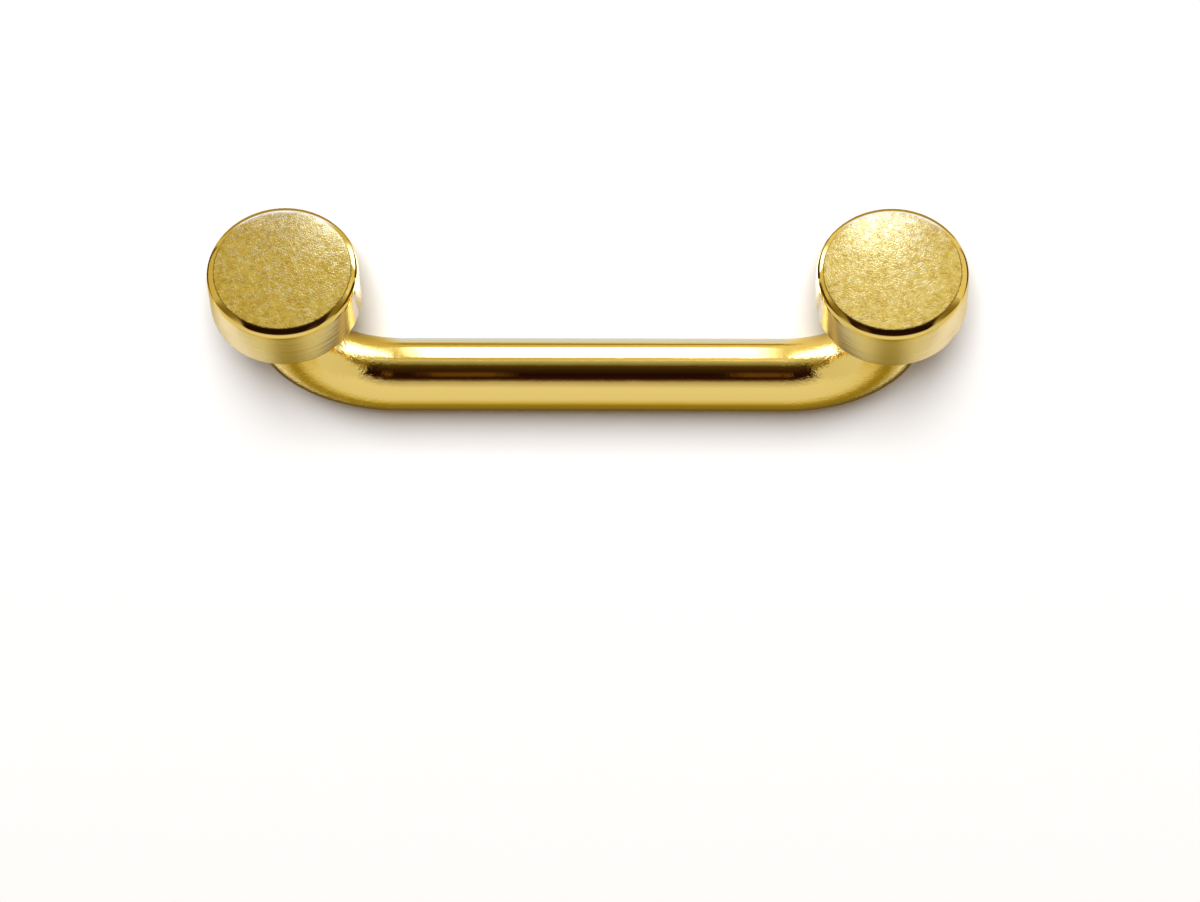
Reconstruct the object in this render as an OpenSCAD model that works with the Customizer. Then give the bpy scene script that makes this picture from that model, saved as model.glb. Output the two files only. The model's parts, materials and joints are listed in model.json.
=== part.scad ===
// Surface barbell: a round bar with both ends bent up into risers, and a flat
// disc with a threaded post screwed into each riser. Millimetres.
// It lies on its side, as it rests on a table: on the bar and on the lower rims
// of the two discs. The faces of the discs look forwards, to -Y, and a little up.
// The origin is on the table, under the middle of the whole barbell.

/* [Bar] */
// Diameter of the round bar, its gauge
bar_d = 1.6; // [1.5:0.1:2]
// Distance between the axes of the two risers
riser_spacing = 13; // [11:0.5:20]
// Radius of each bend, to the middle of the bar
bend_r = 2.25; // [2:0.05:2.3]
// Chamfer round the outer edge of each riser's end
riser_chamfer = 0.05; // [0.02:0.01:0.08]

/* [Disc ends] */
// Diameter of each disc
disc_d = 3.25; // [3:0.25:5]
// Thickness of each disc
disc_t = 1.25; // [0.8:0.05:1.3]
// Height of the faces of the discs above the axis of the bar
face_h = 4.4; // [4.3:0.1:6]
// Rounding between the face and the side of a disc
face_edge_r = 0.12; // [0.05:0.01:0.3]
// Rounding between the side and the underside of a disc
under_edge_r = 0.04; // [0.02:0.01:0.1]
// Gap left between a seated disc and the end of its riser
seat_gap = 0.03; // [0.02:0.01:0.05]

/* [Threaded posts] */
// Outer diameter of the thread
thread_d = 1; // [0.8:0.05:1]
// Rise of the thread in one turn
thread_pitch = 0.2; // [0.2:0.05:0.3]
// Length of the post below the disc, with its rounded tip
post_len = 1.2; // [1:0.05:1.3]
// Length of the rounded tip, past the thread
tip_len = 0.12; // [0.1:0.01:0.2]

/* [Bores in the risers] */
// Clearance round the thread, on the radius
bore_clearance = 0.03; // [0.02:0.01:0.05]
// Depth of each bore below the end of its riser
bore_depth = 1.3; // [1.3:0.05:1.4]
// Depth of the countersink at the mouth of each bore
countersink = 0.08; // [0.04:0.01:0.1]

/* [Finish] */
// Colour of the gold-plated steel
gold = "#d9b665"; // ["#d9b665", "#c0c0c0", "#b76e79"]

/* [Hidden] */
$fn = 96;

bar_r = bar_d / 2;
disc_r = disc_d / 2;
riser_x = riser_spacing / 2;
bend_x = riser_x - bend_r;
under_h = face_h - disc_t;
riser_top = under_h - seat_gap;
bore_r = thread_d / 2 + bore_clearance;

// How far one solid reaches into the next, so that they fuse
overlap = 0.1;

// The thread is an eccentric circle that turns once for each pitch. It is drawn
// with few sides and slices, because it is faceted.
thread_sides = 16;
slices_per_turn = 12;
thread_depth = 0.6 * thread_pitch;
thread_core_r = thread_d / 2 - thread_depth;
// The tip's stub lies this far inside the bottom of the thread
tip_inset = 0.02;
thread_h = post_len - tip_len + overlap;
thread_turns = thread_h / thread_pitch;

// Lying on its side, the barbell touches the table with the bar and with the
// lower edge of each disc, where the rounding of the underside is widest.
edge_y = disc_r - under_edge_r;
edge_z = under_h + under_edge_r;
lying_tilt = acos((bar_r - under_edge_r) / norm([edge_y, edge_z])) - atan2(edge_z, edge_y);
front_reach = (face_h - face_edge_r) * cos(lying_tilt)
    + (disc_r - face_edge_r) * sin(lying_tilt) + face_edge_r;
lying_y = (front_reach - bar_r) / 2;

// Turns what stands on the bar, with its risers along +Z, onto its side.
module lay_down() {
    translate([0, lying_y, bar_r]) rotate([90 - lying_tilt, 0, 0]) children();
}

// One bend and its riser, at the +X end of the straight bar.
module riser() {
    translate([bend_x, 0, bend_r]) rotate([90, 0, 0]) rotate(-90)
        rotate_extrude(angle = 90) translate([bend_r, 0]) circle(bar_r);
    translate([riser_x, 0, bend_r])
        cylinder(h = riser_top - riser_chamfer - bend_r, r = bar_r);
    translate([riser_x, 0, riser_top - riser_chamfer])
        cylinder(h = riser_chamfer, r1 = bar_r, r2 = bar_r - riser_chamfer);
}

// The hole down each riser that takes a threaded post, with its countersink.
module bore() {
    translate([riser_x, 0, riser_top - bore_depth])
        cylinder(h = bore_depth + overlap, r = bore_r);
    translate([riser_x, 0, riser_top - countersink])
        cylinder(h = 2 * countersink, r1 = bore_r, r2 = bore_r + 2 * countersink);
}

module bar() {
    color(gold) lay_down() difference() {
        union() {
            translate([-bend_x, 0, 0]) rotate([0, 90, 0]) cylinder(h = 2 * bend_x, r = bar_r);
            riser();
            mirror([1, 0, 0]) riser();
        }
        bore();
        mirror([1, 0, 0]) bore();
    }
}

// What comes off the square corner of an outline to leave an arc of radius r. up is 1
// for an upper corner, -1 for a lower one.
module round_off(corner_x, corner_z, r, up) {
    translate([corner_x - r, corner_z - up * r]) difference() {
        translate([0, up > 0 ? 0 : -2 * r]) square(2 * r);
        circle(r);
    }
}

// Half the outline of a disc, from its axis to its side.
module disc_outline() {
    difference() {
        square([disc_r, disc_t]);
        round_off(disc_r, disc_t, face_edge_r, 1);
        round_off(disc_r, 0, under_edge_r, -1);
    }
}

// The threaded post, down from the underside of the disc at z = 0.
module post() {
    translate([0, 0, overlap - thread_h])
        linear_extrude(height = thread_h, twist = -360 * thread_turns,
                       slices = ceil(thread_turns * slices_per_turn), $fn = thread_sides)
            translate([thread_depth / 2, 0]) circle((thread_d - thread_depth) / 2);
    translate([0, 0, -post_len]) tip();
}

// The rounded tip, on a stub that reaches up inside the thread.
module tip() {
    tip_r = thread_core_r - tip_inset;
    rotate_extrude() difference() {
        square([tip_r, tip_len + overlap]);
        round_off(tip_r, 0, tip_len, -1);
    }
}

// A disc and its post, turned as one piece. side is 1 at the +X riser, -1 at the other.
module disc_end(side) {
    color(gold) lay_down() translate([side * riser_x, 0, under_h]) {
        rotate_extrude() disc_outline();
        post();
    }
}

module left_disc_end() { disc_end(-1); }
module right_disc_end() { disc_end(1); }

bar();
left_disc_end();
right_disc_end();
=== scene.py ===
"""Surface barbell, modelled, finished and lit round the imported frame.

The barbell is a round gold-plated steel bar with both ends bent up into risers, and a flat
disc with a threaded post screwed into each riser. It lies on its side on a pale floor, on the
bar and on the lower rims of the discs, and the camera looks down at the faces of the discs.

Every piece is modelled standing, in millimetres: the bar runs along X through the origin and
the risers point up Z. The finished mesh is then laid down into the frame, in metres.

Polished gold looks like what stands round it, so most of the studio is what the metal shows: a
room painted in bands, a floor of its own, and cards that are set for the photograph's view.
"""

from __future__ import annotations

import json
import logging
import math
from dataclasses import dataclass
from enum import Enum
from typing import Any, Callable, NamedTuple

import bmesh
import bpy
from bpy.types import Material, Node, NodeSocket, NodeTree, Object
from mathutils import Matrix, Vector

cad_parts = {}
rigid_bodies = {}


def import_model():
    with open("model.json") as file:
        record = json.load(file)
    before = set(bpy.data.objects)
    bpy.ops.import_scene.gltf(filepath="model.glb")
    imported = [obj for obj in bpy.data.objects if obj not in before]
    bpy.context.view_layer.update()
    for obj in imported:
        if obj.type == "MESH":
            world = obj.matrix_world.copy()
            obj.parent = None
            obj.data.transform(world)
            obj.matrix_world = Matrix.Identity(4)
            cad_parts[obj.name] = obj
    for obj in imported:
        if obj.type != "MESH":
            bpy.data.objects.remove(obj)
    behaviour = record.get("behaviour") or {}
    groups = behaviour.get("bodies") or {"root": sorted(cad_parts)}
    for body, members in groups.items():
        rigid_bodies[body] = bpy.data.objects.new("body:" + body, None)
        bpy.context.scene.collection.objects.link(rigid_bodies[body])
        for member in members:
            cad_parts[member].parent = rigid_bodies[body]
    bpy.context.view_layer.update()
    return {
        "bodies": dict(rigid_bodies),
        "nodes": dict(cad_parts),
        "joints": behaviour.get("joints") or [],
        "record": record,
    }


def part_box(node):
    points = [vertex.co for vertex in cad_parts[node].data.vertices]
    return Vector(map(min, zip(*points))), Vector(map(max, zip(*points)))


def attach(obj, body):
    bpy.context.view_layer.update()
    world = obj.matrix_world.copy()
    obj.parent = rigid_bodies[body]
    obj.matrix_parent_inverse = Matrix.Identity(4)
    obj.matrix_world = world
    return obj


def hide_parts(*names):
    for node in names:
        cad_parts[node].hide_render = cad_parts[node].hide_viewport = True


log = logging.getLogger("surface_barbell")

MM = 0.001
IMAGE_WIDTH_PX = 1200

# Gap between a seated disc and the end of its riser, in mm.
SEAT_GAP = 0.03
# Mesh points that are closer than this become one, in mm; the wider one is for mirrored halves.
MERGE_MM, MIRROR_MERGE_MM = 1e-5, 1e-4
# A point this close to a ring's radius is on the ring, in mm.
ON_RING_MM = 0.002
# Upward part of the normal that only the flat top of a cylinder has.
FACES_UP = 0.999
# Faces that meet at less than this angle are shaded as one surface, in degrees.
SMOOTH_DEGREES = 35
# Sockets of a Mix node that mixes colours, which has several of each name.
MIX_SHARE, MIX_A, MIX_B, MIXED = 0, 6, 7, 2
# From the horizon in front, over the top, to the horizon behind, in degrees.
HALF_TURN = 180.0
# Share of a card that its edge takes at least, so that the fade is never of no width.
HARD_EDGE = 0.0001


class Side(Enum):
    """Which riser a disc end belongs to, seen from the front; the value is the sign of X."""

    LEFT = -1
    RIGHT = 1

    @property
    def node(self) -> str:
        """The name of the CAD node."""
        return f"{self.name.lower()}_disc_end"

    @property
    def body(self) -> str:
        """The name of the body that the disc end moves with."""
        return f"{self.name.lower()}_end"


@dataclass(frozen=True)
class Layout:
    """Where the barbell lies and its main sizes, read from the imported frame.

    Attributes:
        bar_middle: middle of the bar's axis in the frame, in metres.
        riser_dir: unit vector along the risers, towards the faces of the discs.
        bar_r: radius of the bar, in mm.
        straight: length of the straight bar between the bends, in mm.
        riser_x: distance from the middle of the bar to the axis of a riser, in mm.
        face_h: height of the faces of the discs above the axis of the bar, in mm.
        disc_r: radius of the discs, in mm.
    """

    bar_middle: Vector
    riser_dir: Vector
    bar_r: float
    straight: float
    riser_x: float
    face_h: float
    disc_r: float

    @classmethod
    def from_frame(cls, frame: dict[str, Any]) -> Layout:
        """Reads the layout from the record's mounts and the box of a disc end.


        Returns:
            The layout.
        """
        mounts = {m["name"]: m for m in frame["record"]["mounts"]}
        shaft, face = mounts["bar_in_skin"], mounts["right_disc_face"]
        middle, face_centre = Vector(shaft["pos_m"]), Vector(face["pos_m"])
        up = Vector(face["axis"]).normalized()
        _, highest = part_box(Side.RIGHT.node)
        return cls(
            bar_middle=middle,
            riser_dir=up,
            bar_r=shaft["dims"]["r_mm"],
            straight=shaft["dims"]["length_mm"],
            riser_x=face_centre.x / MM,
            face_h=(face_centre - middle).dot(up) / MM,
            disc_r=(highest.x - face_centre.x) / MM,
        )

    @property
    def bend_r(self) -> float:
        """Radius of a bend to the middle of the bar, in mm."""
        return self.riser_x - self.straight / 2

    @property
    def lying(self) -> Matrix:
        """Takes what stands on the bar, in mm, to where it lies in the frame, in metres."""
        across = self.riser_dir.cross(Vector((1, 0, 0)))
        turn = Matrix((Vector((1, 0, 0)), across, self.riser_dir)).transposed().to_4x4()
        return Matrix.Translation(self.bar_middle) @ turn @ Matrix.Scale(MM, 4)


class Workbench:
    """Modelling by hand on one mesh at a time, with Blender's own operators."""

    def __init__(self, name: str) -> None:
        """Clears the selection, so that an operator meets only the new mesh.

        Args:
            name: name of the piece that will be made.
        """
        bpy.ops.object.select_all(action="DESELECT")
        self.name = name

    @property
    def piece(self) -> Object:
        """The object on the bench."""
        return bpy.context.object

    def edit(self) -> None:
        """Opens the new primitive for modelling, with its place already in its mesh."""
        self.piece.name = self.piece.data.name = self.name
        bpy.ops.object.transform_apply(location=True, rotation=True, scale=True)
        bpy.ops.object.mode_set(mode="EDIT")
        bpy.ops.mesh.select_mode(type="VERT")
        bpy.ops.mesh.select_all(action="SELECT")

    def done(self) -> Object:
        """Closes the mesh and turns all its faces outwards.

        Returns:
            The finished object.
        """
        bpy.ops.mesh.select_all(action="SELECT")
        bpy.ops.mesh.remove_doubles(threshold=MERGE_MM)
        bpy.ops.mesh.normals_make_consistent(inside=False)
        bpy.ops.object.mode_set(mode="OBJECT")
        return self.piece

    def pick(self, kind: str, test: Callable[[Any], bool]) -> int:
        """Selects only the vertices, edges or faces that pass a test.

        Args:
            kind: "VERT", "EDGE" or "FACE".
            test: told one bmesh element, says whether it is wanted.

        Returns:
            How many were selected.
        """
        bpy.ops.mesh.select_mode(type=kind)
        bpy.ops.mesh.select_all(action="DESELECT")
        mesh = bmesh.from_edit_mesh(self.piece.data)
        group = {"VERT": mesh.verts, "EDGE": mesh.edges, "FACE": mesh.faces}[kind]
        wanted = [element for element in group if test(element)]
        for element in wanted:
            element.select_set(True)
        bmesh.update_edit_mesh(self.piece.data)
        return len(wanted)

    def grow(self, rise: float, scale: float, centre: Vector) -> None:
        """Extrudes the selected ring along Z and scales the new ring in the plane.

        Args:
            rise: how far the ring moves along Z, in mm.
            scale: how much wider the new ring is.
            centre: the point that the ring is scaled about.
        """
        bpy.ops.mesh.extrude_region_move(TRANSFORM_OT_translate={"value": (0, 0, rise)})
        bpy.ops.transform.resize(value=(scale, scale, 1), center_override=centre)

    def turn_rings(self, rings: list[tuple[float, float]], axis_x: float) -> None:
        """Carries the selected ring through a list of radii and heights, as on a lathe.

        Args:
            rings: radius and height of each ring in turn, in mm; the first is where the
                selected ring is now.
            axis_x: where the upright axis of the rings crosses X.
        """
        for (r_from, z_from), (r_to, z_to) in zip(rings, rings[1:]):
            self.grow(z_to - z_from, r_to / r_from, Vector((axis_x, 0, z_to)))

    def modify(self, kind: str, **settings: Any) -> None:
        """Adds a modifier to the piece and applies it.

        Args:
            kind: Blender's name for the modifier.
            settings: what is set on it.
        """
        modifier = self.piece.modifiers.new(kind.title(), kind)
        for name, value in settings.items():
            setattr(modifier, name, value)
        bpy.ops.object.modifier_apply(modifier=modifier.name)


class GroovePoint(NamedTuple):
    """One point of half the outline of a thread's groove.

    Attributes:
        depth: how far below the crest it is, as a share of the thread's depth.
        half_width: how wide half the groove is there, as a share of the pitch.
    """

    depth: float
    half_width: float


@dataclass(frozen=True)
class ScrewThread:
    """A right-hand screw thread, cut with a helical cutter into a post or round a bore.

    Attributes:
        outer_r: radius over the crests, in mm.
        pitch: rise in one turn, in mm.
        depth: from crest to root, in mm.
        steps: faces round one turn.
        shape: the groove from above its open top to its rounded bottom.
    """

    outer_r: float = 0.5
    pitch: float = 0.2
    depth: float = 0.115
    steps: int = 40
    shape: tuple[GroovePoint, ...] = (
        GroovePoint(-0.6, 0.46),
        GroovePoint(0.0, 0.46),
        GroovePoint(0.12, 0.36),
        GroovePoint(0.4, 0.25),
        GroovePoint(0.8, 0.13),
        GroovePoint(1.0, 0.05),
    )

    def groove(self) -> list[tuple[float, float]]:
        """Gives half the groove's outline as depths below the crest and half-widths, in mm."""
        return [(point.depth * self.depth, point.half_width * self.pitch) for point in self.shape]

    def cutter(self, name: str, crest_r: float, axis_x: float, low: float, turns: int) -> Object:
        """Makes the solid that a thread is cut with.

        Args:
            name: name of the cutter.
            crest_r: radius that the groove starts from.
            axis_x: where the axis of the thread crosses X.
            low: height that the groove starts at.
            turns: how many turns it makes.

        Returns:
            The cutter, a closed helical solid.
        """
        bench, half = Workbench(name), self.groove()
        outline = [(d, -w) for d, w in half] + [(d, w) for d, w in reversed(half)]
        bpy.ops.mesh.primitive_circle_add(
            vertices=len(outline), radius=self.pitch / 2, rotation=(math.pi / 2, 0, 0)
        )
        bench.edit()
        mesh = bmesh.from_edit_mesh(bench.piece.data)
        mesh.verts.ensure_lookup_table()
        for vert, (depth, height) in zip(mesh.verts, outline):
            vert.co = Vector((crest_r - depth, 0, height))
        bmesh.update_edit_mesh(bench.piece.data)
        bpy.ops.object.mode_set(mode="OBJECT")
        bench.modify(
            "SCREW",
            axis="Z",
            angle=math.tau,
            screw_offset=self.pitch,
            iterations=turns,
            steps=self.steps,
            render_steps=self.steps,
            use_merge_vertices=True,
            merge_threshold=MERGE_MM,
        )
        bpy.ops.object.mode_set(mode="EDIT")
        bpy.ops.mesh.select_mode(type="EDGE")
        bpy.ops.mesh.select_all(action="DESELECT")
        bpy.ops.mesh.select_non_manifold()
        bpy.ops.mesh.edge_face_add()
        cutter = bench.done()
        cutter.data.transform(Matrix.Translation((axis_x, 0, low)))
        return cutter

    def cut(self, bench_piece: Object, cutter: Object) -> None:
        """Cuts the thread out of a piece and throws the cutter away.

        Args:
            bench_piece: the piece that gets the thread.
            cutter: what cutter() made.
        """
        bpy.ops.object.select_all(action="DESELECT")
        bpy.context.view_layer.objects.active = bench_piece
        modifier = bench_piece.modifiers.new("Thread", "BOOLEAN")
        modifier.operation, modifier.solver, modifier.object = "DIFFERENCE", "EXACT", cutter
        bpy.ops.object.modifier_apply(modifier=modifier.name)
        bpy.data.objects.remove(cutter)


@dataclass(frozen=True)
class BentBar:
    """The round bar with its two bends, its two risers and the tapped hole down each riser.

    Attributes:
        layout: the main sizes.
        riser_top: height of the end of a riser above the bar's axis, in mm.
        sides: faces round the bar.
        bend_steps: faces along one bend.
        chamfer: chamfer round the end of a riser, in mm.
        bore_r: radius of the hole, in mm.
        bore_depth: depth of its straight wall, in mm.
        countersink: depth and width of the countersink at its mouth, in mm.
        point: depth of the drill's point below the straight wall, in mm.
        point_r: radius of the small flat that closes the point, in mm.
    """

    layout: Layout
    riser_top: float
    sides: int = 96
    bend_steps: int = 48
    chamfer: float = 0.05
    bore_r: float = 0.53
    bore_depth: float = 1.25
    countersink: float = 0.08
    point: float = 0.05
    point_r: float = 0.053

    def build(self, thread: ScrewThread, finish: Material) -> Object:
        """Models the bar and puts it in the frame.

        Args:
            thread: the thread of the tapped holes.
            finish: the polished gold of the bar.

        Returns:
            The bar.
        """
        here, bench = self.layout, Workbench("polished_bar")
        bpy.ops.mesh.primitive_circle_add(
            vertices=self.sides, radius=here.bar_r, rotation=(0, math.pi / 2, 0)
        )
        bench.edit()
        end_of_straight = Vector((here.straight / 2, 0, 0))
        bpy.ops.mesh.extrude_region_move(TRANSFORM_OT_translate={"value": end_of_straight})
        bpy.ops.mesh.spin(
            steps=self.bend_steps,
            angle=math.pi / 2,
            center=end_of_straight + Vector((0, 0, here.bend_r)),
            axis=(0, 1, 0),
        )
        bench.turn_rings(self.riser_rings(), here.riser_x)
        bpy.ops.mesh.edge_face_add()
        bench.done()
        bench.modify("MIRROR", use_mirror_merge=True, merge_threshold=MIRROR_MERGE_MM)
        bar = bench.piece
        turns = math.ceil(self.bore_depth / thread.pitch) + 1
        for side in Side:
            cutter = thread.cutter(
                "bore_cutter",
                crest_r=-self.bore_r,
                axis_x=side.value * here.riser_x,
                low=self.riser_top - self.bore_depth,
                turns=turns,
            )
            thread.cut(bar, cutter)
        return finish_piece(bar, here, [finish], "bar", "bar")

    def riser_rings(self) -> list[tuple[float, float]]:
        """Radii and heights from the end of a bend, up the riser and down its bore.

        Returns:
            The rings, from outside to the bottom of the hole.
        """
        top, r = self.riser_top, self.layout.bar_r
        mouth_r, wall_low = self.bore_r + self.countersink, self.riser_top - self.bore_depth
        return [
            (r, self.layout.bend_r),
            (r, top - self.chamfer),
            (r - self.chamfer, top),
            (mouth_r, top),
            (self.bore_r, top - self.countersink),
            (self.bore_r, wall_low),
            (self.point_r, wall_low - self.point),
        ]


def arc(radius: float, degrees: tuple[float, ...]) -> list[tuple[float, float]]:
    """Rounds off an edge, starting along the side.

    Args:
        radius: radius of the rounding, in mm.
        degrees: how far it has turned at each of its points.

    Returns:
        How far in and how far along each point is, in mm.
    """
    turns = [math.radians(turn) for turn in degrees]
    return [(radius * (1 - math.cos(turn)), radius * math.sin(turn)) for turn in turns]


@dataclass(frozen=True)
class DiscEnd:
    """A flat disc and its threaded post, turned as one piece.

    Attributes:
        layout: the main sizes.
        side: which riser it is screwed into.
        thickness: thickness of the disc, in mm.
        sides: faces round the disc.
        rim_from: how far below the face the rim's rings start, in mm.
        polished_down_to: how far below the face the rim is polished, in mm.
        roll_from: how far below the face the side starts to roll in, in mm.
        roll_r: radius of that roll, in mm.
        roll_degrees: how far it has turned at each ring; the polished bevel starts at the last.
        sharp_line: how far in from the side the bevel ends in a sharp line, in mm.
        line_drop: how far below the face that line is, in mm.
        soft_edge: how far in from the side, and how far below the face, each ring on the soft
            edge of the face is, in mm.
        face_rings: radii of the rings on the flat of the face, as shares of its own.
        under_edge: rounding between the side and the underside, in mm.
        post_len: length of the post with its tip, in mm.
        neck_r: radius of the plain neck under the disc, in mm.
        neck_len: length of that neck, in mm.
        tip: rounding of the post's tip, in mm.
        round_degrees: how far these two roundings have turned at each ring.
    """

    layout: Layout
    side: Side
    thickness: float = 1.25
    sides: int = 160
    rim_from: float = 0.4
    polished_down_to: float = 0.22
    roll_from: float = 0.163
    roll_r: float = 0.1204
    roll_degrees: tuple[float, ...] = (0, 14, 28, 42, 54.9)
    sharp_line: float = 0.145
    line_drop: float = 0.0107
    soft_edge: tuple[tuple[float, float], ...] = ((0.163, 0.005), (0.188, 0.0015), (0.228, 0.0))
    face_rings: tuple[float, ...] = (0.8, 0.6, 0.4, 0.2)
    under_edge: float = 0.04
    post_len: float = 1.2
    neck_r: float = 0.385
    neck_len: float = 0.12
    tip: float = 0.12
    round_degrees: tuple[float, ...] = (0, 22.5, 45, 67.5, 90)

    def build(self, thread: ScrewThread, face: Material, turned: Material) -> Object:
        """Models the disc end and puts it in the frame.

        Args:
            thread: the thread of the post.
            face: the finish of the face and its rim.
            turned: the finish of the side, the underside and the post.

        Returns:
            The disc end.
        """
        here, bench = self.layout, Workbench(f"{self.side.name.lower()}_disc")
        axis_x, under = self.side.value * here.riser_x, here.face_h - self.thickness
        side_low, side_high = under + self.under_edge, here.face_h - self.rim_from
        bpy.ops.mesh.primitive_cylinder_add(
            vertices=self.sides,
            radius=here.disc_r,
            depth=side_high - side_low,
            location=(axis_x, 0, (side_low + side_high) / 2),
        )
        bench.edit()
        bench.pick("FACE", lambda f: f.normal.z > FACES_UP)
        bench.turn_rings(self.over_rings(), axis_x)
        bpy.ops.mesh.poke()
        bench.pick("FACE", lambda f: f.normal.z < -FACES_UP)
        bench.turn_rings(self.under_rings(thread, under), axis_x)
        line_r = here.disc_r - self.sharp_line
        bench.pick(
            "EDGE",
            lambda e: all(
                v.co.z > side_high
                and abs(math.hypot(v.co.x - axis_x, v.co.y) - line_r) < ON_RING_MM
                for v in e.verts
            ),
        )
        bpy.ops.mesh.mark_sharp()
        disc = bench.done()
        cutter = thread.cutter(
            "post_cutter",
            crest_r=thread.outer_r,
            axis_x=axis_x,
            low=under - self.post_len - thread.pitch,
            turns=round((self.post_len - self.neck_len) / thread.pitch) + 1,
        )
        thread.cut(disc, cutter)
        for polygon in disc.data.polygons:
            polished = polygon.center.z > here.face_h - self.polished_down_to
            polygon.material_index = 0 if polished else 1
        return finish_piece(disc, here, [face, turned], self.side.node, self.side.body)

    def over_rings(self) -> list[tuple[float, float]]:
        """Radii and heights from the top of the side, over the rim, to the middle of the face.

        Returns:
            The rings.
        """
        r, top = self.layout.disc_r, self.layout.face_h
        flat_r, roll = r - self.soft_edge[-1][0], arc(self.roll_r, self.roll_degrees)
        return [
            (r, top - self.rim_from),
            (r, top - self.polished_down_to),
            *[(r - inwards, top - self.roll_from + up) for inwards, up in roll],
            (r - self.sharp_line, top - self.line_drop),
            *[(r - inwards, top - drop) for inwards, drop in self.soft_edge],
            *[(flat_r * share, top) for share in self.face_rings],
        ]

    def under_rings(self, thread: ScrewThread, under: float) -> list[tuple[float, float]]:
        """Radii and heights from the bottom of the side, under the disc, to the post's tip.

        Args:
            thread: the thread that the post is turned for.
            under: height of the underside.

        Returns:
            The rings.
        """
        disc_r, r, degrees = self.layout.disc_r, thread.outer_r, self.round_degrees
        side_end, post_end = under + self.under_edge, under - self.post_len + self.tip
        return [
            *[(disc_r - inwards, side_end - down) for inwards, down in arc(self.under_edge, degrees)],
            (self.neck_r, under),
            (self.neck_r, under - self.neck_len),
            (r, under - self.neck_len - (r - self.neck_r) / 2),
            *[(r - inwards, post_end - down) for inwards, down in arc(self.tip, degrees)],
        ]


def finish_piece(
    piece: Object, layout: Layout, finishes: list[Material], node: str, body: str
) -> Object:
    """Args:
        piece: the piece, standing, in mm.
        layout: where the barbell lies.
        finishes: its materials, in the order of its faces' material indices.
        node: the CAD node that it stands for.
        body: the body that it moves with.

    Returns:
        The piece.
    """
    bpy.ops.object.select_all(action="DESELECT")
    piece.select_set(True)
    bpy.context.view_layer.objects.active = piece
    piece.data.transform(layout.lying)
    bpy.ops.object.shade_smooth_by_angle(angle=math.radians(SMOOTH_DEGREES))
    for finish in finishes:
        piece.data.materials.append(finish)
    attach(piece, body)
    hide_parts(node)
    log.info("%s: %d faces, rides on %s", piece.name, len(piece.data.polygons), body)
    return piece


def srgb(code: str) -> tuple[float, float, float, float]:
    """Turns an sRGB hex colour into linear values.

    Args:
        code: such as "#ffdf81".

    Returns:
        Linear red, green, blue and an alpha of 1.
    """
    values = [int(code[i : i + 2], 16) / 255 for i in (1, 3, 5)]
    linear = [v / 12.92 if v <= 0.04045 else ((v + 0.055) / 1.055) ** 2.4 for v in values]
    return (*linear, 1.0)


def add_node(tree: NodeTree, kind: str, inputs: dict[Any, Any] | None = None, **settings: Any) -> Node:
    """Adds one shader node with its settings, values and links.

    Args:
        tree: the node tree.
        kind: Blender's name for the node, without the ShaderNode that all of them start with.
        inputs: for each input, by name or number, a value, an output socket, or a node, which
            stands for its first output.
        settings: the node's own settings.

    Returns:
        The node.
    """
    node = tree.nodes.new(f"ShaderNode{kind}")
    for name, value in settings.items():
        setattr(node, name, value)
    for key, value in (inputs or {}).items():
        if isinstance(value, Node):
            value = value.outputs[0]
        if isinstance(value, NodeSocket):
            tree.links.new(value, node.inputs[key])
        else:
            node.inputs[key].default_value = value
    return node


def new_material(name: str) -> tuple[Material, NodeTree]:
    """Makes a material without nodes, and gives it with its node tree."""
    material = bpy.data.materials.new(name)
    material.use_nodes = True
    material.node_tree.nodes.clear()
    return material, material.node_tree


def limits(low: float, high: float, start: float = 0.0, end: float = 1.0) -> dict[str, float]:
    """Names the limits that one range of values is mapped to another by.

    Args:
        low: lower limit of the value.
        high: upper limit of the value.
        start: the result at the lower limit.
        end: the result at the upper limit.

    Returns:
        The inputs of a node, by name.
    """
    return {"From Min": low, "From Max": high, "To Min": start, "To Max": end}


@dataclass(frozen=True)
class GoldPlating:
    """Gold plating on surgical steel: a clean yellow metal that takes its gloss from the steel.

    Attributes:
        layout: where the barbell lies, so that patterns follow the piece.
        name: name of the material.
        colour: sRGB colour of the metal seen straight on.
        roughness: how blurred its reflections are.
    """

    layout: Layout
    name: str
    colour: str = "#ffdf81"
    roughness: float = 0.08

    def start(self) -> tuple[Material, Node, NodeSocket]:
        """Makes the material, its shader and its pattern coordinates.

        Returns:
            The material, its shader, and coordinates in mm that stand with the piece.
        """
        material, tree = new_material(self.name)
        shader = add_node(
            tree,
            "BsdfPrincipled",
            {"Base Color": srgb(self.colour), "Metallic": 1.0, "Roughness": self.roughness},
        )
        add_node(tree, "OutputMaterial", {"Surface": shader})
        place = add_node(tree, "TexCoord")
        lying = self.layout.lying
        standing = add_node(
            tree,
            "Mapping",
            {
                "Vector": place.outputs["Object"],
                "Location": lying.to_translation(),
                "Rotation": lying.to_euler(),
                "Scale": (MM, MM, MM),
            },
            vector_type="TEXTURE",
        )
        return material, shader, standing.outputs["Vector"]


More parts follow.
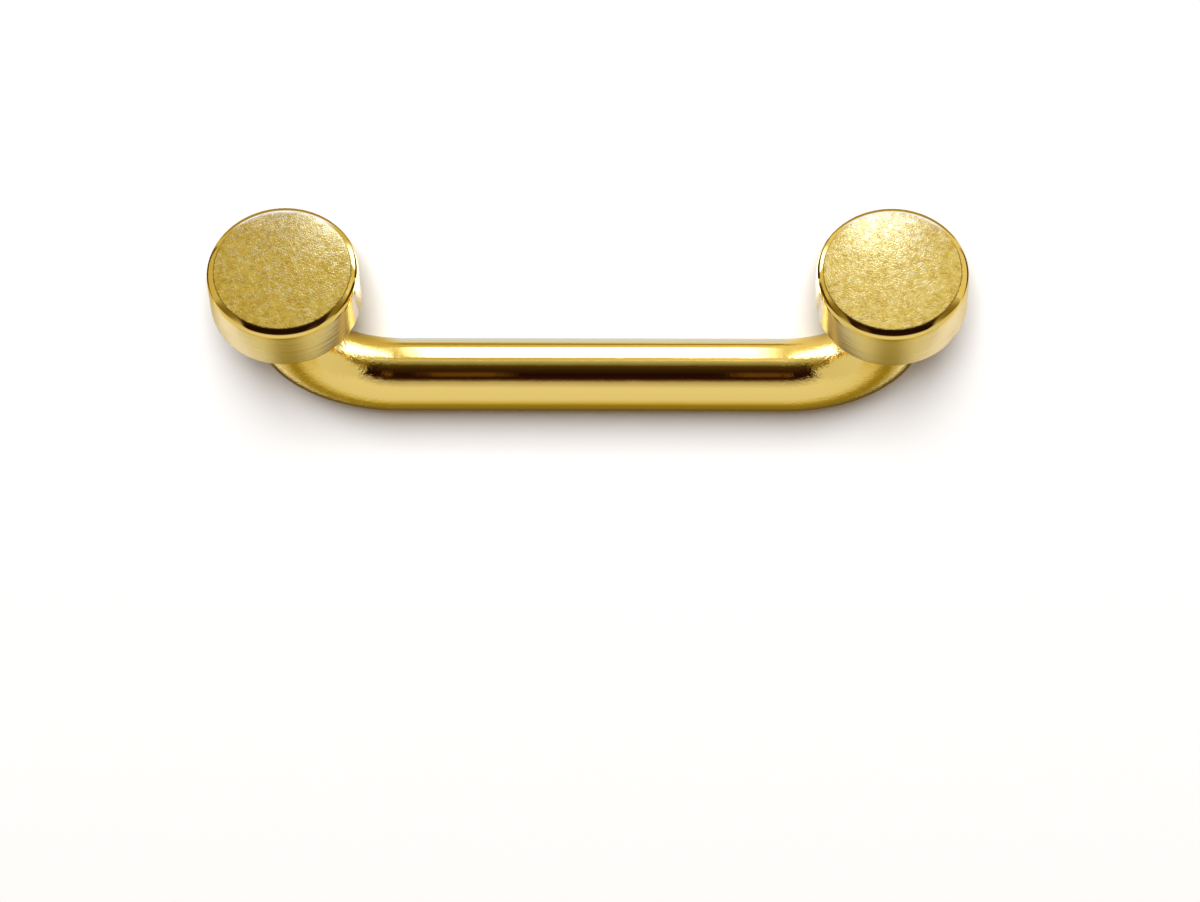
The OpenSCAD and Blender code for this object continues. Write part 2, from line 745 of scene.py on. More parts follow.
@dataclass(frozen=True)
class PolishedBarFinish(GoldPlating):
    """Buffed and plated round bar.

    To the eye it is a near mirror with crisp, faintly wavy bands of light and dark. In the
    bends, which are hard to buff, fine grain breaks up the edges of the bands.

    Attributes:
        wave_mm: size of the waves that buffing leaves, in mm.
        wave_height_mm: how high they are, in mm.
        wave_strength: how much of them there is.
        grain_mm: size of the grain in the bends, in mm; drawn coarser than real, to show.
        grain_height_mm: how high it is, in mm.
        grain_strength: how much of the grain there is on the straight bar and in a bend.
        bend_blend_mm: from where to where the grain comes in, counted from the end of the
            straight bar, in mm.
        dull: how blurred the reflections are in a bend.
    """

    name: str = "buffed_gold_plating"
    roughness: float = 0.06
    wave_mm: float = 0.45
    wave_height_mm: float = 0.006
    wave_strength: float = 0.5
    grain_mm: float = 0.085
    grain_height_mm: float = 0.013
    grain_strength: tuple[float, float] = (0.06, 0.6)
    bend_blend_mm: tuple[float, float] = (-0.2, 0.7)
    dull: float = 0.09

    def make(self) -> Material:
        """Builds the material.

        Returns:
            The material.
        """
        material, shader, place = self.start()
        tree, bend_x = material.node_tree, self.layout.straight / 2
        on_bar, in_bend = self.grain_strength
        comes_in = [bend_x + mm for mm in self.bend_blend_mm]
        wave = add_node(tree, "TexNoise", {"Vector": place, "Scale": 1 / self.wave_mm, "Detail": 1.0})
        grain = add_node(
            tree, "TexNoise", {"Vector": place, "Scale": 1 / self.grain_mm, "Detail": 2.0, "Roughness": 0.6}
        )
        across = add_node(tree, "VectorMath", {0: place}, operation="ABSOLUTE")
        where = add_node(tree, "SeparateXYZ", {0: across})
        bend = add_node(
            tree, "MapRange", {"Value": where.outputs["X"], **limits(*comes_in, on_bar, in_bend)}
        )
        buffed = add_node(
            tree,
            "Bump",
            {"Height": wave, "Distance": self.wave_height_mm * MM, "Strength": self.wave_strength},
        )
        grainy = add_node(
            tree,
            "Bump",
            {"Height": grain, "Distance": self.grain_height_mm * MM, "Strength": bend, "Normal": buffed},
        )
        tree.links.new(grainy.outputs["Normal"], shader.inputs["Normal"])
        dull = add_node(
            tree, "MapRange", {"Value": bend, **limits(on_bar, in_bend, self.roughness, self.dull)}
        )
        tree.links.new(dull.outputs["Result"], shader.inputs["Roughness"])
        return material


@dataclass(frozen=True)
class LappedFaceFinish(GoldPlating):
    """The lapped and worn face of a disc, inside its polished rim.

    To the eye the face is a soft sheen, mottled and covered in fine scratches that catch the
    light, and the rim round it is a mirror. A thin dark line of painted shade parts them; it
    fades out towards the edge of the disc that rests on the floor.

    Attributes:
        roughness: how blurred its reflections are on the rim.
        dull: the same on the face, where it is smoothest and where it is most worn.
        patch_mm: size of the dull and bright patches, in mm.
        patch_limits: values of the patches' noise that are smoothest and most worn.
        worn_r: radius that the scratches reach, in mm.
        ragged_mm: how far the edge of the worn area strays, in mm.
        edge_mm: where that edge starts and ends beyond worn_r, in mm.
        grain_mm: size of the fine grain, in mm; drawn coarser than real, to show.
        grain_height_mm: how high it is, in mm.
        hair_mm: size of the curls that hairline scratches make, in mm; drawn wider than real.
        hair_width: how far from its middle value the curls' noise still makes a line.
        scratch_mm: length and width of a straight scratch, in mm; drawn wider than real.
        scratch_limits: values of the scratches' noise where a scratch starts and is deepest.
        scratch_degrees: which ways the straight scratches run.
        scratch_depth_mm: how deep hairlines and scratches are, in mm.
        tone_mm: size of the mottling of the plating's colour, in mm.
        tones: its dark, middle and light sRGB colours.
        tone_limits: values of the mottling's noise that have these colours.
        edge_shade: sRGB colour of the painted shade line between face and rim.
        edge_shade_from_y: where the line starts to show and where it is whole, from the axis, in mm.
        edge_shade_strength: how dark the line is where it is whole.
    """

    name: str = "lapped_gold_face"
    roughness: float = 0.07
    dull: tuple[float, float] = (0.12, 0.24)
    patch_mm: float = 0.7
    patch_limits: tuple[float, float] = (0.35, 0.65)
    worn_r: float = 1.467
    ragged_mm: float = 0.06
    edge_mm: tuple[float, float] = (0.02, 0.05)
    grain_mm: float = 0.05
    grain_height_mm: float = 0.0045
    hair_mm: float = 0.12
    hair_width: float = 0.1
    scratch_mm: tuple[float, float] = (0.4, 0.022)
    scratch_limits: tuple[float, float] = (0.64, 0.72)
    scratch_degrees: tuple[float, ...] = (20, 65, 100, 155)
    scratch_depth_mm: float = 0.002
    tone_mm: float = 0.14
    tones: tuple[str, str, str] = ("#dabb60", "#f7db7e", "#ffeea8")
    tone_limits: tuple[float, float, float] = (0.36, 0.5, 0.64)
    # The thin dark line between face and rim is painted shade.
    edge_shade: str = "#5a3c08"
    edge_shade_from_y: tuple[float, float] = (-1.2, -0.4)
    edge_shade_strength: float = 3.0

    def make(self) -> Material:
        """Builds the material.

        Returns:
            The material.
        """
        material, shader, place = self.start()
        tree = material.node_tree
        patch = add_node(
            tree, "TexNoise", {"Vector": place, "Scale": 1 / self.patch_mm, "Detail": 3.0, "Roughness": 0.6}
        )
        grain = add_node(
            tree, "TexNoise", {"Vector": place, "Scale": 1 / self.grain_mm, "Detail": 2.0, "Roughness": 0.7}
        )
        worn = self.worn_area(tree, place, grain.outputs["Fac"])
        gloss = add_node(tree, "MapRange", {"Value": patch, **limits(*self.patch_limits, *self.dull)})
        face_gloss = add_node(tree, "Mix", {"Factor": worn, "A": self.roughness, "B": gloss})
        tree.links.new(face_gloss.outputs["Result"], shader.inputs["Roughness"])
        lines = self.hairlines(tree, place)
        for angle in self.scratch_degrees:
            lines = self.add_scratches(tree, place, math.radians(angle), lines)
        tone = add_node(
            tree, "TexNoise", {"Vector": place, "Scale": 1 / self.tone_mm, "Detail": 5.0, "Roughness": 0.8}
        )
        tones = add_node(tree, "ValToRGB", {"Fac": tone})
        stops = tones.color_ramp.elements
        stops[0].position, stops[1].position = self.tone_limits[0], self.tone_limits[2]
        stops.new(self.tone_limits[1])
        for stop, code in zip(stops, self.tones):
            stop.color = srgb(code)
        colour = add_node(
            tree, "Mix", {MIX_SHARE: worn, MIX_A: srgb(self.colour), MIX_B: tones}, data_type="RGBA"
        )
        # Painted shade: a dark line along the edge of the worn area, faint near the floor.
        edge_shaded = self.paint_edge_shade(tree, place, worn)
        lined = add_node(
            tree,
            "Mix",
            {MIX_SHARE: edge_shaded, MIX_A: colour.outputs[MIXED], MIX_B: srgb(self.edge_shade)},
            data_type="RGBA",
        )
        tree.links.new(lined.outputs[MIXED], shader.inputs["Base Color"])
        ground = add_node(
            tree, "Bump", {"Height": grain, "Distance": self.grain_height_mm * MM, "Strength": worn}
        )
        scratched = add_node(
            tree,
            "Bump",
            {"Height": lines, "Distance": self.scratch_depth_mm * MM, "Strength": worn, "Normal": ground},
        )
        tree.links.new(scratched.outputs["Normal"], shader.inputs["Normal"])
        return material

    def worn_area(self, tree: NodeTree, place: NodeSocket, ragged: NodeSocket) -> NodeSocket:
        """Tells the worn face from its polished rim, with a ragged line between them.

        Args:
            tree: the material's node tree.
            place: coordinates in mm.
            ragged: the noise that makes the line ragged.

        Returns:
            1 on the face and 0 on the rim.
        """
        across = add_node(tree, "VectorMath", {0: place}, operation="ABSOLUTE")
        from_axis = add_node(
            tree,
            "Mapping",
            {"Vector": across, "Location": (-self.layout.riser_x, 0, 0), "Scale": (1, 1, 0)},
        )
        # The absolute value folds Y as well, which leaves the distance from the axis as it is.
        radius = add_node(tree, "VectorMath", {0: from_axis}, operation="LENGTH")
        jagged = add_node(
            tree,
            "Math",
            {0: ragged, 1: self.ragged_mm, 2: radius.outputs["Value"]},
            operation="MULTIPLY_ADD",
        )
        edge = [self.worn_r + mm for mm in self.edge_mm]
        area = add_node(tree, "MapRange", {"Value": jagged, **limits(*edge, 1.0, 0.0)})
        return area.outputs["Result"]

    def paint_edge_shade(self, tree: NodeTree, place: NodeSocket, worn: NodeSocket) -> NodeSocket:
        """Paints a line of shade along the edge of the worn area.

        Args:
            tree: the material's node tree.
            place: coordinates in mm.
            worn: 1 on the face and 0 on the rim; the line is where it is in between.

        Returns:
            How much painted shade there is.
        """
        rest = add_node(tree, "Math", {0: 1.0, 1: worn}, operation="SUBTRACT")
        line = add_node(tree, "Math", {0: rest, 1: worn}, operation="MULTIPLY")
        where = add_node(tree, "SeparateXYZ", {0: place})
        strength = add_node(
            tree,
            "MapRange",
            {"Value": where.outputs["Y"], **limits(*self.edge_shade_from_y, 0.0, self.edge_shade_strength)},
        )
        edge_shaded = add_node(tree, "Math", {0: line, 1: strength}, operation="MULTIPLY")
        return edge_shaded.outputs["Value"]

    def hairlines(self, tree: NodeTree, place: NodeSocket) -> NodeSocket:
        """Draws the curly hairline scratches, as the level lines of a noise, broken up.

        Args:
            tree: the material's node tree.
            place: coordinates in mm.

        Returns:
            Their height, from 0 down to -1.
        """
        curls = add_node(
            tree, "TexNoise", {"Vector": place, "Scale": 1 / self.hair_mm, "Detail": 2.0, "Distortion": 1.5}
        )
        centred = add_node(tree, "Math", {0: curls, 1: 0.5}, operation="SUBTRACT")
        level = add_node(tree, "Math", {0: centred}, operation="ABSOLUTE")
        line = add_node(tree, "MapRange", {"Value": level, **limits(0.0, self.hair_width, -1.0, 0.0)})
        return line.outputs["Result"]

    def add_scratches(
        self, tree: NodeTree, place: NodeSocket, angle: float, others: NodeSocket
    ) -> NodeSocket:
        """Adds the straight scratches that run one way across the face.

        Args:
            tree: the material's node tree.
            place: coordinates in mm.
            angle: which way the scratches run, in radians.
            others: the height of the scratches so far.

        Returns:
            The height of these scratches and the others together.
        """
        length, width = self.scratch_mm
        turned = add_node(tree, "VectorRotate", {"Vector": place, "Angle": angle})
        drawn = add_node(tree, "Mapping", {"Vector": turned, "Scale": (1 / length, 1 / width, 1)})
        noise = add_node(tree, "TexNoise", {"Vector": drawn, "Scale": 1.0, "Detail": 1.0})
        line = add_node(tree, "MapRange", {"Value": noise, **limits(*self.scratch_limits, 0.0, -1.0)})
        both = add_node(tree, "Math", {0: line, 1: others}, operation="ADD")
        return both.outputs["Value"]


@dataclass(frozen=True)
class TurnedSideFinish(GoldPlating):
    """The turned side and underside of a disc, and its post.

    To the eye it is satin, paler than the mirror of the rim, with faint rings from the lathe
    that smear each reflection along the axis.

    Attributes:
        ring_mm: spacing of the rings, in mm; drawn as coarse as they need to show.
        ring_height_mm: how high they are, in mm.
        ring_run_mm: how far a ring runs before it changes, in mm.
    """

    name: str = "turned_gold_side"
    colour: str = "#ffe9ae"
    roughness: float = 0.27
    ring_mm: float = 0.1
    ring_height_mm: float = 0.006
    ring_run_mm: float = 4.0

    def make(self) -> Material:
        """Builds the material.

        Returns:
            The material.
        """
        material, shader, place = self.start()
        tree, along = material.node_tree, 1 / self.ring_run_mm
        drawn = add_node(tree, "Mapping", {"Vector": place, "Scale": (along, along, 1 / self.ring_mm)})
        rings = add_node(tree, "TexNoise", {"Vector": drawn, "Scale": 1.0, "Detail": 2.0, "Roughness": 0.6})
        turned = add_node(
            tree, "Bump", {"Height": rings, "Distance": self.ring_height_mm * MM, "Strength": 1.0}
        )
        tree.links.new(turned.outputs["Normal"], shader.inputs["Normal"])
        return material


@dataclass(frozen=True)
class PhotoCamera:
    """The camera, placed by the angle at which the photograph sees the barbell.

    The angles and distances are taken in a frame that stands on the barbell: the view's right
    is along the bar, and up is along the risers.

    Attributes:
        above: angle of the line of sight above the plane square to the risers, in degrees.
        turn: how far the camera is walked round the risers, in degrees.
        roll: how far it is rolled, in degrees.
        distance: from the bar to the camera, in mm.
        aim: how far the view's centre is right of and above the middle of the bar, in mm.
        px_per_mm: scale of the photograph at the bar, in pixels of its width.
        sensor: width of the sensor, in mm.
        clip_m: nearest and furthest that it sees, in metres.
    """

    above: float = 60.385
    turn: float = 3.129
    roll: float = -2.585
    distance: float = 124.16
    aim: tuple[float, float] = (0.1816, -1.6812)
    px_per_mm: float = 45.533
    sensor: float = 36.0
    clip_m: tuple[float, float] = (0.001, 10.0)

    def build(self, layout: Layout) -> Object:
        """Makes the camera and gives it to the scene.

        Args:
            layout: where the barbell lies.

        Returns:
            The camera.
        """
        along, upwards = Vector((-1, 0, 0)), layout.riser_dir
        away = upwards.cross(along)
        above, turn, roll = (math.radians(a) for a in (self.above, self.turn, self.roll))
        back = (
            along * math.sin(turn) * math.cos(above)
            - away * math.cos(turn) * math.cos(above)
            + upwards * math.sin(above)
        )
        right = along * math.cos(turn) + away * math.sin(turn)
        up = back.cross(right)
        right, up = (
            right * math.cos(roll) + up * math.sin(roll),
            up * math.cos(roll) - right * math.sin(roll),
        )
        data = bpy.data.cameras.new("photo_camera")
        data.sensor_width = self.sensor
        data.lens = self.px_per_mm * self.distance / IMAGE_WIDTH_PX * self.sensor
        data.clip_start, data.clip_end = self.clip_m
        camera = bpy.data.objects.new("photo_camera", data)
        bpy.context.collection.objects.link(camera)
        reach = right * self.aim[0] + up * self.aim[1] + back * self.distance
        turned = Matrix((right, up, back)).transposed().to_4x4()
        camera.matrix_world = Matrix.Translation(layout.bar_middle + reach * MM) @ turned
        bpy.context.scene.camera = camera
        return camera


@dataclass(frozen=True)
class SoftBox:
    """A soft square light that shapes the shadows on the floor and stays out of the metal.

    Attributes:
        name: name of its light.
        at: where it hangs, in mm.
        aim: the spot on the floor that it points at, in mm.
        size: its side, in mm.
        power: its power, in watts.
        colour: sRGB colour of its light.
    """

    name: str
    at: tuple[float, float, float]
    aim: tuple[float, float]
    size: float
    power: float
    colour: str = "#ffffff"

    def build(self) -> None:
        """Hangs the light and points it at its spot."""
        data = bpy.data.lights.new(self.name, "AREA")
        data.size, data.energy, data.color = self.size * MM, self.power, srgb(self.colour)[:3]
        light = bpy.data.objects.new(self.name, data)
        bpy.context.collection.objects.link(light)
        light.location = Vector(self.at) * MM
        way = Vector((*self.aim, 0)) - Vector(self.at)
        light.rotation_euler = way.to_track_quat("-Z", "Y").to_euler()
        light.visible_camera = light.visible_glossy = False


@dataclass(frozen=True)
class RoomBand:
    """One band of what the metal reflects.

    Attributes:
        place: in the room, degrees from the horizon in front, over the top, to the horizon
            behind; on a card, share of its height.
        colour: sRGB colour there.
    """

    place: float
    colour: str


def paint_bands(
    tree: NodeTree, share: NodeSocket, bands: tuple[RoomBand, ...], full: float = 1.0
) -> NodeSocket:
    """Paints bands of colour that run into each other.

    Args:
        tree: the node tree.
        share: how far along the bands a point is, from 0 to 1.
        bands: the bands in order.
        full: the place at the end of the scale.

    Returns:
        The colour.
    """
    ramp = add_node(tree, "ValToRGB", {"Fac": share})
    stops = ramp.color_ramp.elements
    stops[0].position, stops[-1].position = bands[0].place / full, bands[-1].place / full
    for band in bands[1:-1]:
        stops.new(band.place / full)
    for stop, band in zip(stops, bands):
        stop.color = srgb(band.colour)
    return ramp.outputs["Color"]


@dataclass(frozen=True)
class Card:
    """A painted or glowing card with soft edges that shows in the metal only.

    Attributes:
        name: name of the card.
        foot: the two ends of its foot, in mm.
        rise: the way from its foot to its top, in mm.
        paint: its colours, by share of the way from foot to top.
        soft: how far it fades out at its sides, and at its foot and top, in mm.
        glow: how much brighter than its paint it is.
    """

    name: str
    foot: tuple[tuple[float, float, float], tuple[float, float, float]]
    rise: tuple[float, float, float]
    paint: tuple[RoomBand, ...]
    soft: tuple[float, float]
    glow: float = 1.0

    def build(self) -> None:
        """Puts the card up."""
        bpy.ops.object.select_all(action="DESELECT")
        bpy.ops.mesh.primitive_plane_add(size=MM)
        card = bpy.context.object
        card.name = self.name
        left, right = (Vector(end) for end in self.foot)
        up = Vector(self.rise)
        for vert, corner in zip(card.data.vertices, (left, right, left + up, right + up)):
            vert.co = corner * MM
        material, tree = new_material(f"painted_{self.name}")
        place = add_node(tree, "TexCoord")
        share = add_node(tree, "SeparateXYZ", {0: place.outputs["UV"]})
        colour = paint_bands(tree, share.outputs["Y"], self.paint)
        glow = add_node(tree, "Emission", {"Color": colour, "Strength": self.glow})
        clear = add_node(tree, "BsdfTransparent")
        sides = self.faded(tree, share.outputs["X"], self.soft[0] / (right - left).length)
        ends = self.faded(tree, share.outputs["Y"], self.soft[1] / up.length)
        cover = add_node(tree, "Math", {0: sides, 1: ends}, operation="MULTIPLY")
        mixed = add_node(tree, "MixShader", {0: cover, 1: clear, 2: glow})
        add_node(tree, "OutputMaterial", {"Surface": mixed})
        card.data.materials.append(material)
        card.visible_camera = card.visible_diffuse = card.visible_shadow = False

    def faded(self, tree: NodeTree, share: NodeSocket, soft: float) -> NodeSocket:
        """Fades the card out towards both ends of one direction.

        Args:
            tree: the card's node tree.
            share: how far along that direction a point is, from 0 to 1.
            soft: the share that the fade takes at each end.

        Returns:
            1 within and 0 at the ends.
        """
        centred = add_node(tree, "Math", {0: share, 1: 0.5}, operation="SUBTRACT")
        off = add_node(tree, "Math", {0: centred}, operation="ABSOLUTE")
        faded = add_node(
            tree,
            "MapRange",
            {"Value": off, **limits(0.5 - soft - HARD_EDGE, 0.5, 1.0, 0.0)},
            interpolation_type="SMOOTHSTEP",
        )
        return faded.outputs["Result"]


@dataclass(frozen=True)
class RoomSlice:
    """What the room shows from a certain distance to the side on.

    Attributes:
        start: how far to the left or right it starts to show, as a share of the way there.
        full: the same where it shows alone.
        bands: its bands from the front to the back.
    """

    start: float
    full: float
    bands: tuple[RoomBand, ...]


@dataclass(frozen=True)
class FloorTones:
    """The sRGB colours of a floor, which run into each other.

    Attributes:
        front_left: its colour in front of the -X disc.
        front_right: its colour in front of the +X disc.
        behind: its colour behind the bar.
        blend_x: from where to where it changes from left to right, in mm.
        blend_y: from where to where it changes from front to back, in mm.
    """

    front_left: str
    front_right: str
    behind: str
    blend_x: tuple[float, float] = (-3, 3)
    blend_y: tuple[float, float] = (1, 3.5)


def plain(colour: str) -> tuple[RoomBand, ...]:
    """Paints a card with one sRGB colour."""
    return RoomBand(0, colour), RoomBand(1, colour)


def flat(
    name: str,
    x: tuple[float, float],
    y: tuple[float, float],
    paint: tuple[RoomBand, ...],
    soft: tuple[float, float],
    glow: float = 1.0,
    z: float = 0.03,
) -> Card:
    """Lays a card flat on the floor.

    Args:
        name: name of the card.
        x: where it starts and ends to the side, in mm.
        y: where it starts and ends from front to back, in mm.
        paint: its colours from front to back.
        soft: how far it fades out at its sides, and at its front and back, in mm.
        glow: how much brighter than its paint it is.
        z: how high it lies, in mm; where two cards overlap, the metal shows the higher one.

    Returns:
        The card.
    """
    foot = ((x[0], y[0], z), (x[1], y[0], z))
    return Card(name, foot, (0, y[1] - y[0], 0), paint, soft, glow)


def back(above: str, high: str, low: str, horizon: str) -> tuple[RoomBand, ...]:
    """Gives the bands of the room's back in their sRGB colours, from above to the horizon."""
    return RoomBand(137, above), RoomBand(144, high), RoomBand(160, low), RoomBand(180, horizon)


# The room from the front to overhead; the dark bands are the camera's side.
ROOM_FRONT = (
    RoomBand(0, "#c3c3c6"),
    RoomBand(9, "#96967f"),
    RoomBand(18, "#4a3c0a"),
    RoomBand(30, "#35231a"),
    RoomBand(45, "#1c0d09"),
    RoomBand(58.5, "#2b120b"),
    RoomBand(64, "#6b5a45"),
    RoomBand(69, "#ada8a4"),
    RoomBand(79, "#cbcac8"),
    RoomBand(89, "#e6e4e2"),
    RoomBand(129, "#e1dfde"),
)
# Bluish glows, which gold shows as white.
COOL_GLOW, SOFT_GLOW, WHITE_GLOW = plain("#8b9bff"), plain("#b4c4ff"), plain("#d0daff")
# Dull paints, from pale olive to dark gold.
LIP, DULL, HORIZON, SHADE = plain("#a3945c"), plain("#9a8f5c"), plain("#847636"), plain("#4a3408")
# Two-tone paints.
BROWN = (RoomBand(0, "#6a4a24"), RoomBand(1, "#4a3014"))
# The floor in shade, painted on the cards behind the bar.
SHADED_FLOOR = (RoomBand(0, "#54471c"), RoomBand(0.25, "#746538"), RoomBand(1, "#746538"))


@dataclass(frozen=True)
class Studio:
    """A pale floor in soft light, and all that the metal shows round it.

    The picture shows the white floor and its shadows. The metal shows the grey floor, the room
    and the cards instead, which light nothing.

    Attributes:
        floor_size: side of the floor, in metres.
        boxes: the soft lights.
        cards: what the metal shows besides the floor and the room.
        room: the room's slices, from the middle to the sides.
        floor_in_picture: colours of the floor that the picture shows.
        floor_in_metal: colours of the floor that the metal shows.
        metal_floor_z: how high that floor lies above the other one, in mm.
    """

    floor_size: float = 3.0
    boxes: tuple[SoftBox, ...] = (
        SoftBox("key_box", at=(0, -494, 340), aim=(0, 0), size=190, power=6.9, colour="#fbfdff"),
        SoftBox("top_box", at=(0, 60, 300), aim=(0, 0), size=400, power=0.24, colour="#ffdcb8"),
    )
    cards: tuple[Card, ...] = (
        # The broad highlight along the bar, and the thin lines at its edge.
        flat("low_card", x=(-4.3, 4.5), y=(-4.5, 0.6), z=0.02, paint=WHITE_GLOW, glow=4.6, soft=(0.9, 0.2)),
        flat("near_line", x=(-4.6, 4.6), y=(0.74, 1.0), paint=DULL, soft=(0.5, 0.1)),
        flat("under_line", x=(-4.6, 4.6), y=(1.0, 1.5), paint=SOFT_GLOW, glow=1.5, soft=(0.5, 0.08)),
        # The white upper rims of the discs, and the soft bright spots on their faces.
        flat("left_rim_card", x=(-8.2, -5.0), y=(-3.55, -2.76), paint=COOL_GLOW, glow=4.0, soft=(0.6, 0.03)),
        flat("left_face_card", x=(-7.25, -5.3), y=(-6.0, -3.4), paint=SOFT_GLOW, glow=5.8, soft=(0.6, 0.8)),
        flat("right_rim_card", x=(5.0, 8.2), y=(-3.55, -2.76), paint=COOL_GLOW, glow=4.0, soft=(0.6, 0.03)),
        flat("right_face_card", x=(4.3, 6.3), y=(-5.1, -3.4), paint=SOFT_GLOW, glow=5.0, soft=(0.5, 0.5)),
        # The gold outline beyond the white of the rims.
        flat("left_lip", x=(-8.6, -4.3), y=(-2.75, -1.97), paint=LIP, soft=(0.2, 0.02)),
        flat("right_lip", x=(4.5, 8.6), y=(-2.75, -1.97), paint=LIP, soft=(0.2, 0.02)),
        # The dull patch on the +X face, and the dark gold on the outer rims.
        flat("right_far", x=(6.3, 10.8), y=(-19, -12.5), z=0.02, paint=DULL, soft=(1.6, 2.5)),
        flat("left_strip", x=(-30, -8.9), y=(-3.1, -0.5), paint=SHADE, soft=(0.3, 0.3)),
        flat("right_strip", x=(8.9, 30), y=(-3.1, -0.5), paint=SHADE, soft=(0.3, 0.3)),
        # The brown patches in the dark band along the bar, near the bends.
        Card("left_brown", ((-4.6, -5, 5.4), (-2.7, -5, 5.4)), (0, 0, 5.6), BROWN, (0.6, 2.4)),
        Card("right_brown", ((1.8, -5, 5.4), (4.4, -5, 5.4)), (0, 0, 5.6), BROWN, (0.8, 2.4)),
        # Flags on edge beside the discs: the dark line along their inner rims.
        Card("left_low_flag", ((-4.6, -2.77, 0.1), (-4.6, -2.51, 0.1)), (0, 0.28, 1.8), SHADE, (0.03, 0.03)),
        Card(
            "left_high_flag", ((-4.6, -2.47, 1.88), (-4.6, -2.2, 1.88)), (0, -0.02, 1.5), SHADE, (0.03, 0.2)
        ),
        Card("right_low_flag", ((4.6, -2.8, 0.1), (4.6, -2.54, 0.1)), (0, 0.3, 1.8), SHADE, (0.03, 0.03)),
        Card(
            "right_high_flag", ((4.6, -2.49, 1.88), (4.6, -2.22, 1.88)), (0, -0.02, 1.5), SHADE, (0.03, 0.2)
        ),
        # The dark gold underside of the bar and the bends: cards painted as the shaded floor behind.
        flat("floor_behind", x=(-10.5, 10.5), y=(2.4, 32.4), z=0.02, paint=SHADED_FLOOR, soft=(2.0, 0.5)),
        flat("near_horizon", x=(-16, 16), y=(31, 132), z=0.02, paint=HORIZON, soft=(1.5, 1.0)),
        flat("mid_horizon", x=(-38, 38), y=(131, 432), z=0.02, paint=HORIZON, soft=(3.0, 1.0)),
        flat("far_horizon", x=(-110, 110), y=(431, 1496), z=0.02, paint=HORIZON, soft=(9.0, 1.0)),
    )
    room: tuple[RoomSlice, ...] = (
        RoomSlice(0.0, 0.0, (*ROOM_FRONT, *back("#dad6c4", "#cdc596", "#968629", "#847636"))),
        RoomSlice(0.08, 0.3, (*ROOM_FRONT, *back("#e0ddd2", "#dcd8c8", "#cfc284", "#d6d0ae"))),
        RoomSlice(
            0.6,
            0.66,
            (
                RoomBand(0, "#c9c8c2"),
                RoomBand(6, "#b4ab80"),
                RoomBand(14, "#8d7d46"),
                RoomBand(22, "#7a6a34"),
                RoomBand(34, "#85753e"),
                RoomBand(42, "#b9b28c"),
                RoomBand(54, "#d6d3c8"),
                RoomBand(180, "#dddcd8"),
            ),
        ),
    )
    floor_in_picture: FloorTones = FloorTones("#f4f4f4", "#f4f4f4", "#f4f4f4")
    floor_in_metal: FloorTones = FloorTones("#d0cbb0", "#b8af7e", "#e2e0da")
    metal_floor_z: float = 0.01

    def build(self) -> None:
        """Makes the floor, the room, the lights and the cards."""
        bpy.context.scene.view_settings.view_transform = "Standard"
        self.add_floor("white_floor", self.floor_in_picture, 0.0, for_metal=False)
        self.add_floor("grey_floor", self.floor_in_metal, self.metal_floor_z, for_metal=True)
        self.add_room()
        for part in (*self.boxes, *self.cards):
            part.build()

    def add_floor(self, name: str, tones: FloorTones, height: float, for_metal: bool) -> None:
        """Lays a matt floor under the barbell.

        Args:
            name: name of the floor.
            tones: its colours.
            height: how high it lies, in mm.
            for_metal: whether it is the one that shows in the metal, or the one that shows
                in the picture.
        """
        bpy.ops.object.select_all(action="DESELECT")
        bpy.ops.mesh.primitive_plane_add(size=self.floor_size, location=(0, 0, height * MM))
        floor = bpy.context.object
        floor.name = name
        material, tree = new_material(f"matt_{name}")
        place = add_node(tree, "TexCoord")
        across = add_node(tree, "SeparateXYZ", {0: place.outputs["Object"]})
        side = add_node(
            tree, "MapRange", {"Value": across.outputs["X"], **limits(*(mm * MM for mm in tones.blend_x))}
        )
        colour = add_node(
            tree,
            "Mix",
            {MIX_SHARE: side, MIX_A: srgb(tones.front_left), MIX_B: srgb(tones.front_right)},
            data_type="RGBA",
        )
        depth = add_node(
            tree, "MapRange", {"Value": across.outputs["Y"], **limits(*(mm * MM for mm in tones.blend_y))}
        )
        whole = add_node(
            tree,
            "Mix",
            {MIX_SHARE: depth, MIX_A: colour.outputs[MIXED], MIX_B: srgb(tones.behind)},
            data_type="RGBA",
        )
        matt = add_node(tree, "BsdfDiffuse", {"Color": whole.outputs[MIXED]})
        add_node(tree, "OutputMaterial", {"Surface": matt})
        floor.data.materials.append(material)
        floor.visible_glossy = for_metal
        floor.visible_camera = floor.visible_diffuse = floor.visible_shadow = not for_metal

    def add_room(self) -> None:
        """Paints the room in bands from the front, over the top, to the back."""
        world = bpy.data.worlds.new("studio_room")
        bpy.context.scene.world = world
        world.use_nodes = True
        world.cycles_visibility.diffuse = False
        tree = world.node_tree
        tree.nodes.clear()
        place = add_node(tree, "TexCoord")
        way = add_node(tree, "SeparateXYZ", {0: place.outputs["Generated"]})
        front = add_node(tree, "Math", {0: way.outputs["Y"], 1: -1.0}, operation="MULTIPLY")
        angle = add_node(tree, "Math", {0: way.outputs["Z"], 1: front}, operation="ARCTAN2")
        share = add_node(tree, "Math", {0: angle, 1: math.pi}, operation="DIVIDE")
        to_side = add_node(tree, "Math", {0: way.outputs["X"]}, operation="ABSOLUTE")
        colour = paint_bands(tree, share.outputs["Value"], self.room[0].bands, HALF_TURN)
        for part in self.room[1:]:
            beside = add_node(tree, "MapRange", {"Value": to_side, **limits(part.start, part.full)})
            bands = paint_bands(tree, share.outputs["Value"], part.bands, HALF_TURN)
            mixed = add_node(
                tree, "Mix", {MIX_SHARE: beside, MIX_A: colour, MIX_B: bands}, data_type="RGBA"
            )
            colour = mixed.outputs[MIXED]
        sky = add_node(tree, "Background", {"Color": colour, "Strength": 1.0})
        add_node(tree, "OutputWorld", {"Surface": sky})


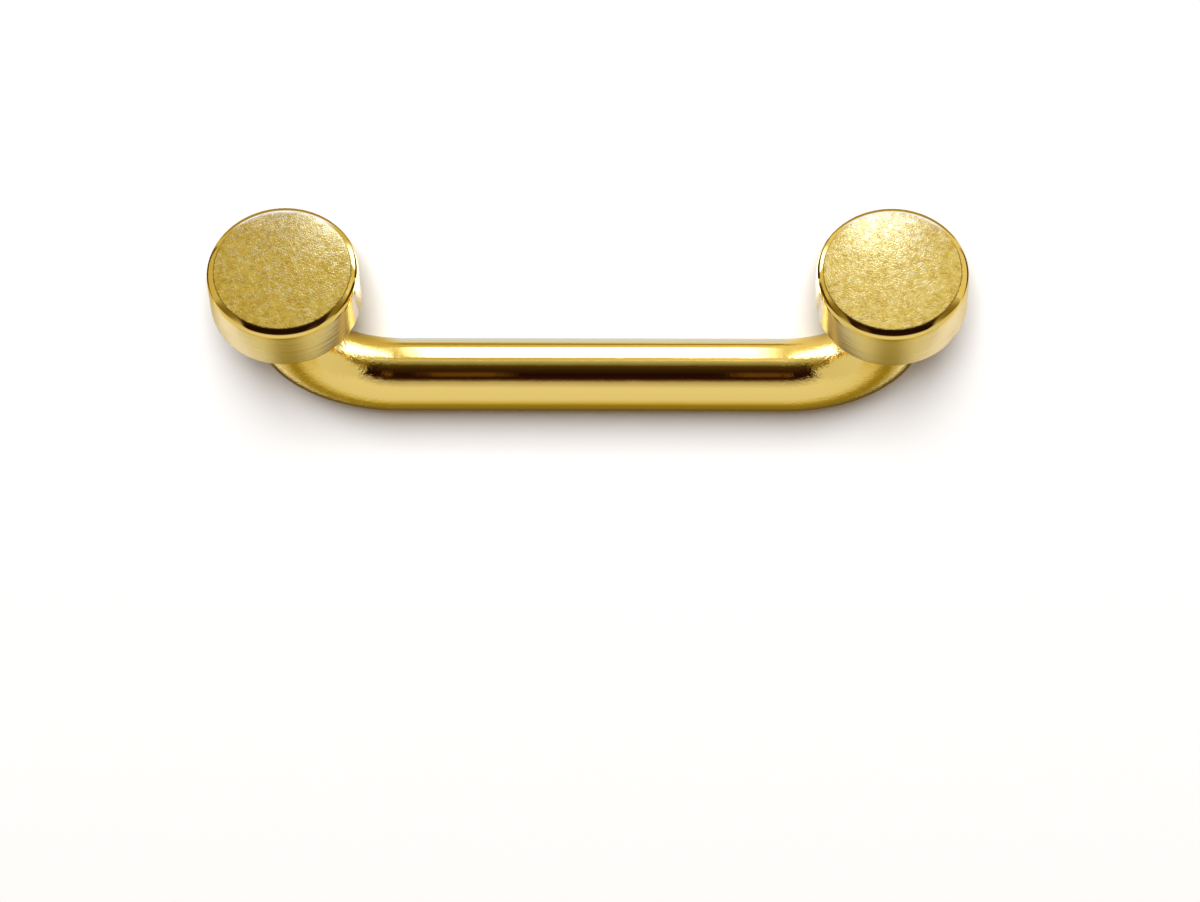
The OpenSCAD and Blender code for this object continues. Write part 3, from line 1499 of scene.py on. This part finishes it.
def main() -> None:
    """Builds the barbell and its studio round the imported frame."""
    logging.basicConfig(level=logging.INFO, format="%(name)s: %(message)s")
    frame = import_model()
    layout = Layout.from_frame(frame)
    log.info("risers point %s, face height %.3f mm", tuple(layout.riser_dir), layout.face_h)
    PhotoCamera().build(layout)

    thread = ScrewThread()
    disc_ends = [DiscEnd(layout, side) for side in Side]
    riser_top = layout.face_h - disc_ends[0].thickness - SEAT_GAP
    BentBar(layout, riser_top).build(thread, PolishedBarFinish(layout).make())
    face, turned = LappedFaceFinish(layout).make(), TurnedSideFinish(layout).make()
    for disc_end in disc_ends:
        disc_end.build(thread, face, turned)
    Studio().build()


if __name__ == "__main__":
    main()
